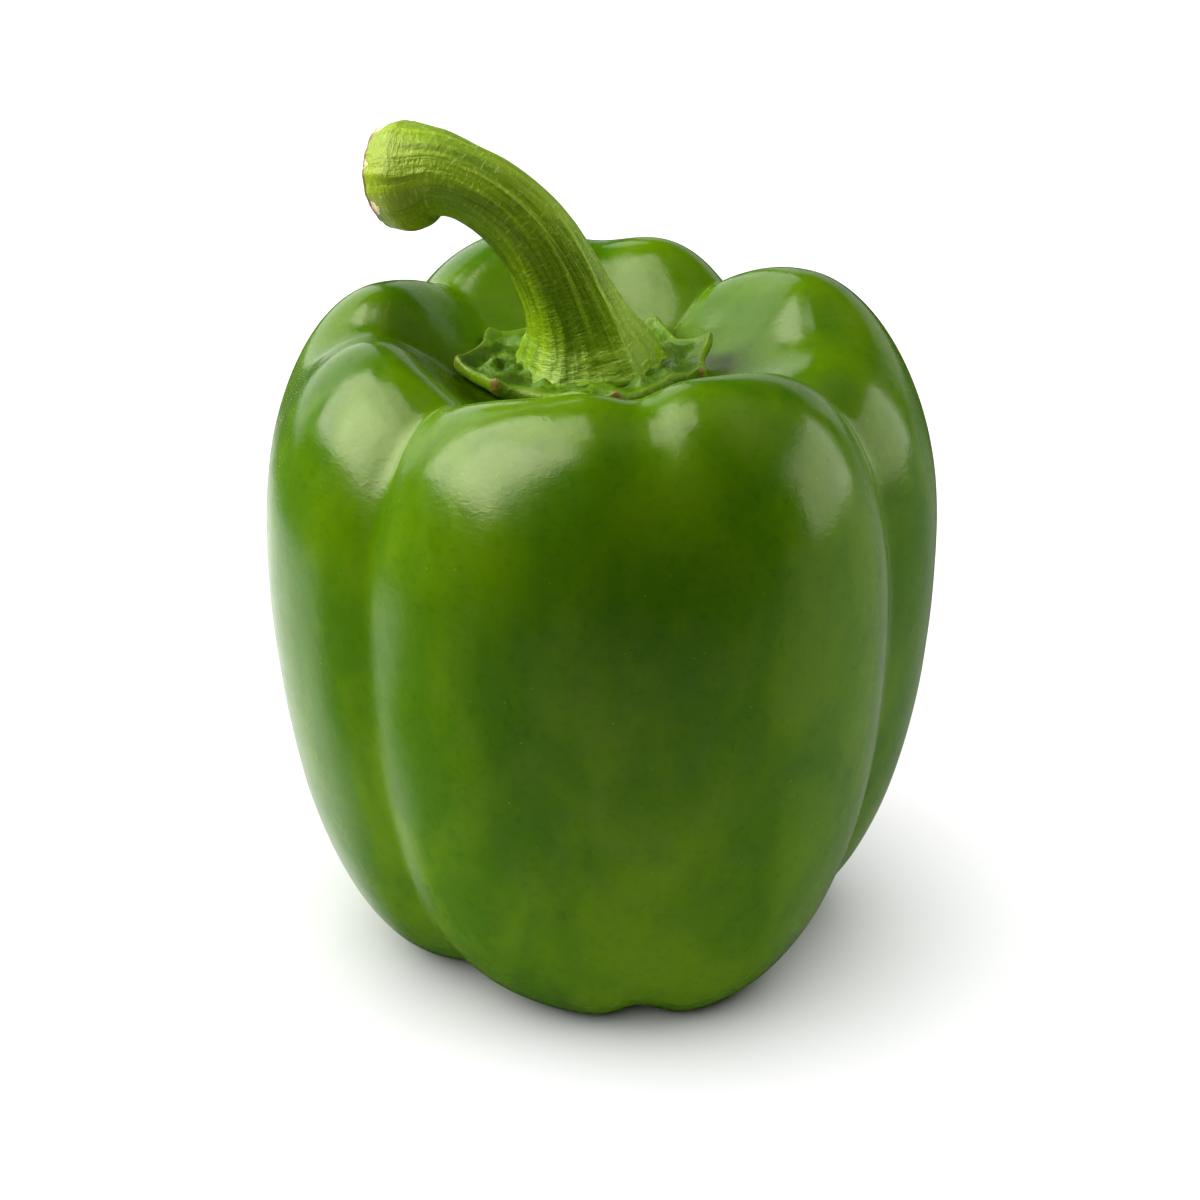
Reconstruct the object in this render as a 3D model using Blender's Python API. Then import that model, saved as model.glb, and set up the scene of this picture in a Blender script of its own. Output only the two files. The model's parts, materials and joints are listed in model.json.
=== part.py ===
"""Green bell pepper, as picked: the fruit, the calyx in its top hollow and the cut stem.

Blender 4.5, metres, +Z up. The pepper stands on the feet of its four lobes. The origin is on the
surface that it stands on, under the middle of its bounding box. The front of the pepper faces -Y.

Lengths below are in millimetres until a mesh is written. A heading is the angle about the fruit's
axis in degrees, 0 at the front, growing towards +X. A share runs along the skin from the middle of
the top hollow, 0, over the shoulder and down the side to the blossom end, 1.
"""

from collections import namedtuple
import math

import bmesh
import bpy
import numpy as np
from mathutils import Vector

MM = 0.001

Profile = namedtuple(
    "Profile", "crest_radius crest_height widest_radius widest_height foot_radius foot_height"
)
Furrow = namedtuple("Furrow", "heading depth")
Dip = namedtuple("Dip", "heading half_width shoulder middle foot")
HalfLobe = namedtuple("HalfLobe", "reach lift")
Tooth = namedtuple("Tooth", "heading reach rise")
StemRing = namedtuple("StemRing", "x y z radius")

# Fruit. The skin's outline along the fullest line of a lobe, and along a furrow.
RIB = Profile(
    crest_radius=27.5, crest_height=85.0, widest_radius=43.0, widest_height=58.0,
    foot_radius=21.0, foot_height=-1.0,
)
VALLEY = Profile(
    crest_radius=26.0, crest_height=79.5, widest_radius=38.5, widest_height=52.0,
    foot_radius=16.0, foot_height=2.0,
)
HOLLOW_RADIUS, HOLLOW_HEIGHT = 14.0, 74.5
BLOSSOM_HEIGHT = 3.5
# A side of squareness 2 is a quarter of an ellipse, and a higher one is boxier.
SIDE_SQUARENESS = 2.1
# The shares at which an outline crests, is widest and comes down to its foot.
CREST_SHARE, WIDEST_SHARE, FOOT_SHARE = 0.26, 0.46, 0.79
OUTLINE_SOFTENING = 0.02
FURROWS = (Furrow(-45.0, 0.7), Furrow(70.0, 1.2), Furrow(145.0, 1.1), Furrow(225.0, 0.6))
# The shallow dip down the middle of each lobe, deepest on the shoulder and at the foot.
DIPS = (
    Dip(10.0, 8.0, 0.25, 0.10, 0.3), Dip(90.0, 14.0, 0.30, 0.10, 0.4),
    Dip(180.0, 14.0, 0.45, 0.05, 0.3), Dip(270.0, 11.0, 0.60, 0.10, 0.2),
)
# From the first furrow round to the right, two halves to a lobe.
HALF_LOBES = (
    HalfLobe(0.95, -2.0), HalfLobe(1.00, -0.5), HalfLobe(0.99, -2.0), HalfLobe(1.00, 0.0),
    HalfLobe(0.98, 1.5), HalfLobe(1.04, 1.0), HalfLobe(0.97, 0.0), HalfLobe(0.95, -2.0),
)
# Half way down the side a lobe is broad with steep edges; at its ends it is plainly round.
SIDE_FULLNESS, END_FULLNESS = 3.5, 2.0
# The bottom of a furrow, rounded on the side and close to a crease at the ends.
SIDE_ROUNDING, END_ROUNDING = 0.20, 0.08
# The lobes and their dips change along the skin over these places and half widths, as shares.
SHOULDER_AT, SHOULDER_SPREAD = 0.22, 0.12
FOOT_SPREAD = 0.20
DIP_SHOULDER_AT, DIP_SPREAD = 0.24, 0.12
LIFT_SPREAD = 0.14
MIDDLE_AT, MIDDLE_SPREAD = 0.50, 0.25
FRUIT_LEAN = -0.010
LEAN_HEIGHT = 40.0

# Calyx. Its centre is off the fruit's axis, and its rim carries small teeth.
CALYX_CENTRE = (-1.5, 1.0)
CALYX_RADIUS = 13.0
CALYX_TOP = 76.3
CALYX_DISH = 0.6
CALYX_WALL = 1.5
CALYX_RIM_RISE = 0.6
TEETH = (
    Tooth(-127.0, 2.2, 1.1), Tooth(-86.0, 3.0, 1.1), Tooth(-48.0, 1.7, 0.5), Tooth(14.0, 1.4, 1.0),
    Tooth(66.0, 1.8, 1.2), Tooth(107.0, 2.9, 1.6), Tooth(147.0, 2.4, 0.6), Tooth(188.0, 1.8, 0.6),
)
TOOTH_HALF_WIDTH = 15.0

# Stem. Rings along its middle line, from its foot on the calyx to the swollen cut end.
STEM_RINGS = (
    StemRing(-1.6, 1.0, 77.0, 8.9), StemRing(-1.9, 0.9, 78.2, 8.2), StemRing(-2.2, 0.8, 79.6, 7.4),
    StemRing(-2.8, 0.5, 82.2, 6.1), StemRing(-4.2, 0.2, 86.0, 5.3), StemRing(-5.9, 0.1, 89.7, 5.0),
    StemRing(-7.8, 0.0, 92.8, 4.8), StemRing(-10.2, 0.0, 95.6, 4.6), StemRing(-13.0, 0.1, 97.9, 4.5),
    StemRing(-16.2, 0.5, 99.5, 4.5), StemRing(-19.2, 1.4, 100.1, 5.3),
    StemRing(-22.2, 2.7, 99.5, 6.5), StemRing(-24.8, 4.1, 98.9, 6.05),
)
STEM_RIB_COUNT = 5
STEM_RIB_DEPTH = 0.04
# The ribs turn slowly round the stem: their heading at its foot and at its cut end.
RIB_LEAD_FOOT, RIB_LEAD_END = -58.0, -8.0
STEM_CUT_ROUNDING = 0.82

CLEARANCE = 0.35

FRUIT_SEGMENTS, FRUIT_RINGS = 72, 44
CALYX_SEGMENTS, CALYX_RINGS = 64, 16
STEM_SEGMENTS, STEM_STEPS = 30, 30

# Colour, roughness and metallic value of each piece.
FINISHES = {
    "fruit": ((0.060, 0.165, 0.008), 0.28, 0.0),
    "calyx": ((0.110, 0.200, 0.020), 0.42, 0.0),
    "stem": ((0.150, 0.250, 0.022), 0.45, 0.0),
}


def ease(value):
    """Smooth step from 0 to 1."""
    value = np.clip(value, 0.0, 1.0)
    return value * value * (3.0 - 2.0 * value)


def hump(value, middle, half_width):
    """Bell curve, 1 at its middle."""
    return np.exp(-(((value - middle) / half_width) ** 2))


def turn(heading, start):
    """Degrees from start round to heading, between -180 and 180."""
    return np.mod(heading - start + 180.0, 360.0) - 180.0


def sharp_outline_at(profile, share):
    """Radius and height on an outline: the hollow, shoulder, side and blossom end in turn."""
    radius = profile.crest_radius * share / CREST_SHARE
    wall = ease((np.abs(radius) - HOLLOW_RADIUS) / (profile.crest_radius - HOLLOW_RADIUS))
    hollow = (radius, HOLLOW_HEIGHT + (profile.crest_height - HOLLOW_HEIGHT) * wall)
    over = np.clip((share - CREST_SHARE) / (WIDEST_SHARE - CREST_SHARE), 0.0, 1.0) * math.pi / 2.0
    shoulder = (
        profile.crest_radius + (profile.widest_radius - profile.crest_radius) * np.sin(over),
        profile.widest_height + (profile.crest_height - profile.widest_height) * np.cos(over),
    )
    down = np.clip((share - WIDEST_SHARE) / (FOOT_SHARE - WIDEST_SHARE), 0.0, 1.0) * math.pi / 2.0
    out = np.cos(down) ** (2.0 / SIDE_SQUARENESS)
    drop = 1.0 - np.sin(down) ** (2.0 / SIDE_SQUARENESS)
    side = (
        profile.foot_radius + (profile.widest_radius - profile.foot_radius) * out,
        profile.foot_height + (profile.widest_height - profile.foot_height) * drop,
    )
    inward = (share - FOOT_SHARE) / (1.0 - FOOT_SHARE)
    rise = ease(1.0 - np.abs(1.0 - inward))
    end = (
        profile.foot_radius * (1.0 - inward),
        profile.foot_height + (BLOSSOM_HEIGHT - profile.foot_height) * rise,
    )
    zones = [share < CREST_SHARE, share < WIDEST_SHARE, share < FOOT_SHARE]
    return tuple(
        np.select(zones, [hollow[i], shoulder[i], side[i]], end[i]) for i in range(2)
    )


def outline_at(profile, share):
    """Radius and height on an outline, its arcs run smoothly into each other."""
    radius = np.zeros_like(share)
    height = np.zeros_like(share)
    for step, weight in zip(range(-2, 3), (1.0, 4.0, 6.0, 4.0, 1.0)):
        at = sharp_outline_at(profile, share + step * OUTLINE_SOFTENING)
        radius = radius + weight * at[0] / 16.0
        height = height + weight * at[1] / 16.0
    return radius, height


def lobe_of(heading):
    """Each heading's lobe, its place across that lobe from -1 to 1, and its turn from furrow 0."""
    starts = np.array([furrow.heading for furrow in FURROWS]) - FURROWS[0].heading
    edges = np.append(starts, 360.0)
    round_to = np.mod(heading - FURROWS[0].heading, 360.0)
    lobe = np.clip(np.searchsorted(edges, round_to, side="right") - 1, 0, len(FURROWS) - 1)
    across = 2.0 * (round_to - edges[lobe]) / (edges[lobe + 1] - edges[lobe]) - 1.0
    return lobe, across, round_to


def half_lobe_value(round_to, values):
    """A value given for each half lobe, eased from the middle of one to the middle of the next."""
    starts = [furrow.heading - FURROWS[0].heading for furrow in FURROWS]
    dips = [dip.heading - FURROWS[0].heading for dip in DIPS]
    edges = np.sort(np.array(starts + dips + [360.0]))
    middles = (edges[:-1] + edges[1:]) / 2.0
    middles = np.concatenate([[middles[-1] - 360.0], middles, [middles[0] + 360.0]])
    values = np.concatenate([[values[-1]], values, [values[0]]])
    span = np.clip(np.searchsorted(middles, round_to, side="right") - 1, 0, len(middles) - 2)
    part = ease((round_to - middles[span]) / (middles[span + 1] - middles[span]))
    return values[span] * (1.0 - part) + values[span + 1] * part


def lobe_swell(heading, share):
    """How far the skin stands out from the furrow outline towards the rib outline, 0 to 1."""
    lobe, across, round_to = lobe_of(heading)
    near_shoulder = hump(share, SHOULDER_AT, SHOULDER_SPREAD)
    near_end = np.maximum(near_shoulder, hump(share, FOOT_SHARE, FOOT_SPREAD))
    fullness = SIDE_FULLNESS + (END_FULLNESS - SIDE_FULLNESS) * near_end
    swell = 1.0 - np.minimum(np.abs(across), 1.0) ** fullness
    swell = swell ** (1.0 - 0.2 * near_end)
    round_off = SIDE_ROUNDING + (END_ROUNDING - SIDE_ROUNDING) * near_end
    swell = (np.hypot(swell, round_off) - round_off) / (np.hypot(1.0, round_off) - round_off)
    for dip in DIPS:
        depth = dip.middle + dip.shoulder * hump(share, DIP_SHOULDER_AT, DIP_SPREAD)
        depth = depth + dip.foot * hump(share, FOOT_SHARE, DIP_SPREAD)
        swell = swell - depth * hump(turn(heading, dip.heading), 0.0, dip.half_width)
    depths = np.array([furrow.depth for furrow in FURROWS + FURROWS[:1]])
    side = ease((across + 1.0) / 2.0)
    depth = depths[lobe] * (1.0 - side) + depths[lobe + 1] * side
    depth = 1.0 + (depth - 1.0) * hump(share, MIDDLE_AT, MIDDLE_SPREAD)
    return 1.0 - (1.0 - swell) * depth


def fruit_skin(heading, share):
    """Points of the fruit's skin, in millimetres, as an array with x, y and z last."""
    _, _, round_to = lobe_of(heading)
    swell = lobe_swell(heading, share)
    rib_radius, rib_height = outline_at(RIB, share)
    furrow_radius, furrow_height = outline_at(VALLEY, share)
    reach = half_lobe_value(round_to, [half.reach for half in HALF_LOBES])
    lift = half_lobe_value(round_to, [half.lift for half in HALF_LOBES])
    radius = furrow_radius + swell * (rib_radius - furrow_radius)
    radius = radius * (1.0 + (reach - 1.0) * ease((share - 0.12) / 0.2))
    height = furrow_height + swell * (rib_height - furrow_height)
    height = height + lift * hump(share, CREST_SHARE, LIFT_SPREAD)
    turned = np.radians(heading)
    x = radius * np.sin(turned) + FRUIT_LEAN * (height - LEAN_HEIGHT)
    return np.stack([x, -radius * np.cos(turned), height], axis=-1)


def hollow_floor(x, y):
    """Height of the skin in the top hollow under each point, out to the foot of its wall."""
    heading = np.degrees(np.arctan2(x, -y))
    shares = np.linspace(0.0, 0.24, 49)
    floor = np.empty_like(x)
    for i in range(len(x)):
        skin = fruit_skin(np.full_like(shares, heading[i]), shares)
        floor[i] = np.interp(np.hypot(x[i], y[i]), np.hypot(skin[:, 0], skin[:, 1]), skin[:, 2])
    return floor


def sphere_mesh(segments, rings):
    """A unit sphere, with the heading and the share of each vertex."""
    shape = bmesh.new()
    bmesh.ops.create_uvsphere(shape, u_segments=segments, v_segments=rings, radius=1.0)
    points = np.array([vertex.co for vertex in shape.verts])
    level = np.hypot(points[:, 0], points[:, 1])
    heading = np.degrees(np.arctan2(points[:, 0], -points[:, 1]))
    share = np.arctan2(level, points[:, 2]) / math.pi
    return shape, heading, share


def add_piece(name, shape):
    """Turns a bmesh in millimetres into a smooth-shaded object in metres, with its material."""
    bmesh.ops.scale(shape, vec=(MM, MM, MM), verts=shape.verts)
    bmesh.ops.recalc_face_normals(shape, faces=shape.faces)
    mesh = bpy.data.meshes.new(name)
    shape.to_mesh(mesh)
    shape.free()
    mesh.shade_smooth()
    colour, roughness, metallic = FINISHES[name]
    material = bpy.data.materials.new(name)
    material.use_nodes = True
    shader = material.node_tree.nodes["Principled BSDF"]
    shader.inputs["Base Color"].default_value = (*colour, 1.0)
    shader.inputs["Roughness"].default_value = roughness
    shader.inputs["Metallic"].default_value = metallic
    mesh.materials.append(material)
    piece = bpy.data.objects.new(name, mesh)
    bpy.context.scene.collection.objects.link(piece)
    return piece


def move_vertices(shape, points):
    """Puts each vertex of the bmesh at its point."""
    for vertex, point in zip(shape.verts, points):
        vertex.co = point


def furrow_headings(heading):
    """Spreads evenly spaced headings so that a line of vertices runs down every furrow."""
    step = 360.0 / FRUIT_SEGMENTS
    starts = np.array([furrow.heading for furrow in FURROWS] + [FURROWS[0].heading + 360.0])
    even = np.round((starts - starts[0]) / step) * step
    return starts[0] + np.interp(np.mod(heading + 0.001, 360.0) - 0.001, even, starts - starts[0])


def make_fruit():
    """The four-lobed fruit as one solid, pressed flat where its feet rest."""
    shape, heading, share = sphere_mesh(FRUIT_SEGMENTS, FRUIT_RINGS)
    skin = fruit_skin(furrow_headings(heading), share)
    skin[:, 2] = np.maximum(skin[:, 2], 0.0)
    move_vertices(shape, skin)
    return add_piece("fruit", shape)


def calyx_edge(heading):
    """Radius and rise of the calyx's rim."""
    edge = np.full_like(heading, CALYX_RADIUS)
    rise = np.full_like(heading, CALYX_RIM_RISE)
    for tooth in TEETH:
        off = np.abs(turn(heading, tooth.heading))
        near = np.exp(-((off / TOOTH_HALF_WIDTH) ** 1.3))
        edge = edge + tooth.reach * near
        rise = rise + tooth.rise * near
    return edge, rise


def make_calyx():
    """The calyx: a dished disc with a toothed, upturned rim, clear of the fruit below it."""
    shape, heading, share = sphere_mesh(CALYX_SEGMENTS, CALYX_RINGS)
    edge, rise = calyx_edge(heading)
    out = np.sin(share * math.pi) ** 1.3
    turned = np.radians(heading)
    x = CALYX_CENTRE[0] + edge * out * np.sin(turned)
    y = CALYX_CENTRE[1] - edge * out * np.cos(turned)
    floor = hollow_floor(x, y) + CLEARANCE
    top = CALYX_TOP - CALYX_DISH * hump(out, 0.80, 0.11) + rise * ease((out - 0.78) / 0.24)
    wall = CALYX_WALL * (1.0 - 0.30 * out**4)
    top = np.maximum(top, floor + wall)
    bottom = np.maximum(floor, top - wall)
    # Over the disc's edge the two surfaces meet half way.
    over = np.clip((0.5 - share) / 0.5 * 6.0, -1.0, 1.0)
    height = (top + bottom) / 2.0 + over * (top - bottom) / 2.0
    move_vertices(shape, np.stack([x, y, height], axis=-1))
    return add_piece("calyx", shape)


def stem_at(share):
    """Middle point and radius of the stem, by Catmull-Rom through its rings."""
    rings = np.array(STEM_RINGS)
    rings = np.vstack([2.0 * rings[0] - rings[1], rings, 2.0 * rings[-1] - rings[-2]])
    along = share * (len(STEM_RINGS) - 1)
    span = min(int(along), len(STEM_RINGS) - 2)
    part = along - span
    before, start, end, after = rings[span : span + 4]
    at = 0.5 * (
        2.0 * start
        + (end - before) * part
        + (2.0 * before - 5.0 * start + 4.0 * end - after) * part**2
        + (3.0 * start - before - 3.0 * end + after) * part**3
    )
    return Vector(at[:3]), float(at[3])


def stem_frame(share):
    """Two directions square to the stem's middle line at a share of its length."""
    if share == 0.0:
        ahead = Vector((0.0, 0.0, 1.0))
    else:
        ahead = stem_at(min(share + 0.01, 1.0))[0] - stem_at(share - 0.01)[0]
        ahead.normalize()
    side = Vector((0.0, 1.0, 0.0))
    side = (side - ahead * side.dot(ahead)).normalized()
    return side.cross(ahead), side


def make_stem():
    """The stem: a ribbed tube drawn ring by ring from its foot to the cut end."""
    shape = bmesh.new()
    bmesh.ops.create_circle(shape, cap_ends=False, segments=STEM_SEGMENTS, radius=1.0)
    edges = shape.edges[:]
    ring = shape.verts[:]
    angles = [math.atan2(vertex.co.y, vertex.co.x) for vertex in ring]
    for step in range(STEM_STEPS + 1):
        share = step / STEM_STEPS
        if step:
            made = bmesh.ops.extrude_edge_only(shape, edges=edges)["geom"]
            edges = [item for item in made if isinstance(item, bmesh.types.BMEdge)]
            edges = [edge for edge in edges if edge.is_boundary]
            ring = [item for item in made if isinstance(item, bmesh.types.BMVert)]
        middle, radius = stem_at(share)
        across, side = stem_frame(share)
        if step == STEM_STEPS:
            radius *= STEM_CUT_ROUNDING
        lead = math.radians(RIB_LEAD_FOOT + (RIB_LEAD_END - RIB_LEAD_FOOT) * share)
        for vertex, angle in zip(ring, angles):
            rib = math.cos(STEM_RIB_COUNT * (angle - lead))
            ribbed = radius * (1.0 + STEM_RIB_DEPTH * rib)
            vertex.co = middle + (across * math.cos(angle) + side * math.sin(angle)) * ribbed
    bmesh.ops.holes_fill(shape, edges=shape.edges[:])
    return add_piece("stem", shape)


def centre_on_origin(pieces):
    """Moves the meshes sideways so that the bounding box's middle is over the origin."""
    points = np.array([vertex.co for piece in pieces for vertex in piece.data.vertices])
    middle = (points.min(axis=0) + points.max(axis=0)) / 2.0
    for piece in pieces:
        for vertex in piece.data.vertices:
            vertex.co -= Vector((middle[0], middle[1], 0.0))


def main():
    for old in list(bpy.data.objects):
        bpy.data.objects.remove(old)
    centre_on_origin([make_fruit(), make_calyx(), make_stem()])


if __name__ == "__main__":
    main()
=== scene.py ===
"""A whole green bell pepper standing on a pale floor in soft studio light.

The fruit, its calyx and its cut stem are modelled here in full detail, each in the place of the
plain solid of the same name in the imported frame. Lengths are in millimetres until a mesh is
finished, when it is scaled to metres and moved to the fruit's place in the frame.

A heading is the angle about the fruit's axis in degrees: 0 faces -Y, the front, and it grows
towards +X. A share runs along the skin from the middle of the top hollow, 0, over the shoulder
and down the side to the middle of the blossom end, 1.
"""

import json
import logging
import math
from collections.abc import Sequence
from dataclasses import dataclass, field
from enum import Enum

import bmesh
import bpy
import numpy as np
from mathutils import Matrix, Vector, noise

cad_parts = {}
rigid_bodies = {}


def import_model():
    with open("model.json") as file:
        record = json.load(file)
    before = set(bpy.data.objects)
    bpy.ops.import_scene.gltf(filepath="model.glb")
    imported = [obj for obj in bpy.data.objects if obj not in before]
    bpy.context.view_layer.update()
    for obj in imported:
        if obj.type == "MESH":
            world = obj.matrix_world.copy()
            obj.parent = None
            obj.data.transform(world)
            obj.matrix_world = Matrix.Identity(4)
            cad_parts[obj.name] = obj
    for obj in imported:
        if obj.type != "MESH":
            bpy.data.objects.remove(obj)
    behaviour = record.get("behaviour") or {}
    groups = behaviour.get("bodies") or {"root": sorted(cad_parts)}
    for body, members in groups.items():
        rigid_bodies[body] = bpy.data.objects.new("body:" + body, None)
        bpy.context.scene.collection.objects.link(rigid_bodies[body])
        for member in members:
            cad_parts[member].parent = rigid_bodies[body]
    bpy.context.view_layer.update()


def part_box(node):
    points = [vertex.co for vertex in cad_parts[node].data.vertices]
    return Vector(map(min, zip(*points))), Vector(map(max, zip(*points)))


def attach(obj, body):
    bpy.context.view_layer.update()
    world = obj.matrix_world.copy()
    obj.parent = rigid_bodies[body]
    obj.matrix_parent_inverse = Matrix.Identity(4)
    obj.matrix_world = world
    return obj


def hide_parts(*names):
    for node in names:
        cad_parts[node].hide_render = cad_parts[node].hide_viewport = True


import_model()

LOG = logging.getLogger("bell_pepper")
MM = 0.001

Triple = tuple[float, float, float]
Colour = Triple
Field = np.ndarray
Socket = bpy.types.NodeSocket

# Shared by the three plant materials: the tint of their reflections, and how far red, green and
# blue light spread inside them, one against another.
WARM_SHEEN: Colour = (1.0, 0.95, 0.68)
LIGHT_SPREAD: Triple = (0.8, 1.0, 0.15)

# How much each of five neighbouring places counts where an outline's corners are softened.
SOFT_WEIGHTS = (1.0, 4.0, 6.0, 4.0, 1.0)


class Blend(Enum):
    """How a colour layer is laid over the one below it."""

    COVER = "MIX"
    DARKEN = "MULTIPLY"


def ease(value: Field) -> Field:
    """Smooth step from 0 to 1."""
    value = np.clip(value, 0.0, 1.0)
    return value * value * (3.0 - 2.0 * value)


def hump(value: Field, middle: float, half_width: float) -> Field:
    """Bell curve, 1 at its middle."""
    return np.exp(-(((value - middle) / half_width) ** 2))


def turn(heading: Field, start: float) -> Field:
    """Degrees from start round to heading, between -180 and 180."""
    return np.mod(heading - start + 180.0, 360.0) - 180.0


def pointing(heading: float, elevation: float) -> Vector:
    """Unit vector with a heading and an elevation, both in degrees."""
    level = math.cos(math.radians(elevation))
    around = math.radians(heading)
    return Vector(
        (level * math.sin(around), -level * math.cos(around), math.sin(math.radians(elevation)))
    )


def roughen(points: Field, size: float, seed: float, octaves: int = 2) -> Field:
    """Smooth noise at points, about -1 to 1.

    Args:
        points: places in millimetres, one in a row.
        size: width of one bump in millimetres.
        seed: shifts the pattern, so that two layers differ.
        octaves: how many finer layers are added.

    Returns:
        One value for each point.
    """
    shift = Vector((seed, -seed, 2.0 * seed))
    return np.array(
        [noise.fractal(Vector(point) / size + shift, 1.0, 2.0, octaves) for point in points]
    )


def pebbles(points: Field, size: float) -> Field:
    """Rounded bumps a size in millimetres across, packed side by side, 0 between them.

    Args:
        points: where to look, with x, y and z last.
        size: the usual distance from one bump's middle to the next.

    Returns:
        The height at each point, at most 1.
    """
    nearest = [noise.voronoi(Vector(point) / size)[0][0] for point in points]
    return np.clip(1.0 - 1.6 * np.array(nearest) ** 2, 0.0, 1.0)


def sphere_grid(segments: int, rings: int) -> tuple[bmesh.types.BMesh, Field, Field]:
    """A unit sphere whose lines of longitude and latitude carry headings and shares.

    Args:
        segments: lines of longitude.
        rings: bands of latitude.

    Returns:
        The sphere, and the heading and the share of each of its vertices.
    """
    shape = bmesh.new()
    bmesh.ops.create_uvsphere(shape, u_segments=segments, v_segments=rings, radius=1.0)
    points = np.array([vertex.co for vertex in shape.verts])
    heading = np.degrees(np.arctan2(points[:, 0], -points[:, 1]))
    share = np.arctan2(np.hypot(points[:, 0], points[:, 1]), points[:, 2]) / math.pi
    return shape, heading, share


def move_vertices(shape: bmesh.types.BMesh, points: Field) -> None:
    """Puts each vertex of the mesh at its point."""
    for vertex, point in zip(shape.verts, points):
        vertex.co = point


def vertex_normals(shape: bmesh.types.BMesh) -> Field:
    """The outward normal of each vertex."""
    bmesh.ops.recalc_face_normals(shape, faces=shape.faces)
    shape.normal_update()
    return np.array([vertex.normal for vertex in shape.verts])


def store(shape: bmesh.types.BMesh, name: str, values: Field) -> None:
    """Keeps one number for each vertex, for a material to read."""
    layer = shape.verts.layers.float.new(name)
    for vertex, value in zip(shape.verts, values):
        vertex[layer] = float(value)


def finish_piece(name: str, shape: bmesh.types.BMesh, place: Vector) -> bpy.types.Object:
    """Turns a mesh in millimetres into a smooth object in the frame, standing for a CAD node.

    Args:
        name: the object's name and the name of the CAD node that it stands for.
        shape: the mesh in millimetres, with its axis through the origin.
        place: where the axis meets the floor in the frame, in millimetres.

    Returns:
        The new object.
    """
    bmesh.ops.translate(shape, vec=place, verts=shape.verts)
    bmesh.ops.scale(shape, vec=(MM, MM, MM), verts=shape.verts)
    bmesh.ops.recalc_face_normals(shape, faces=shape.faces)
    mesh = bpy.data.meshes.new(f"{name}_detail")
    shape.to_mesh(mesh)
    shape.free()
    mesh.shade_smooth()
    piece = bpy.data.objects.new(f"{name}_detail", mesh)
    bpy.context.scene.collection.objects.link(piece)
    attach(piece, "root")
    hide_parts(name)
    return piece


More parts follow.
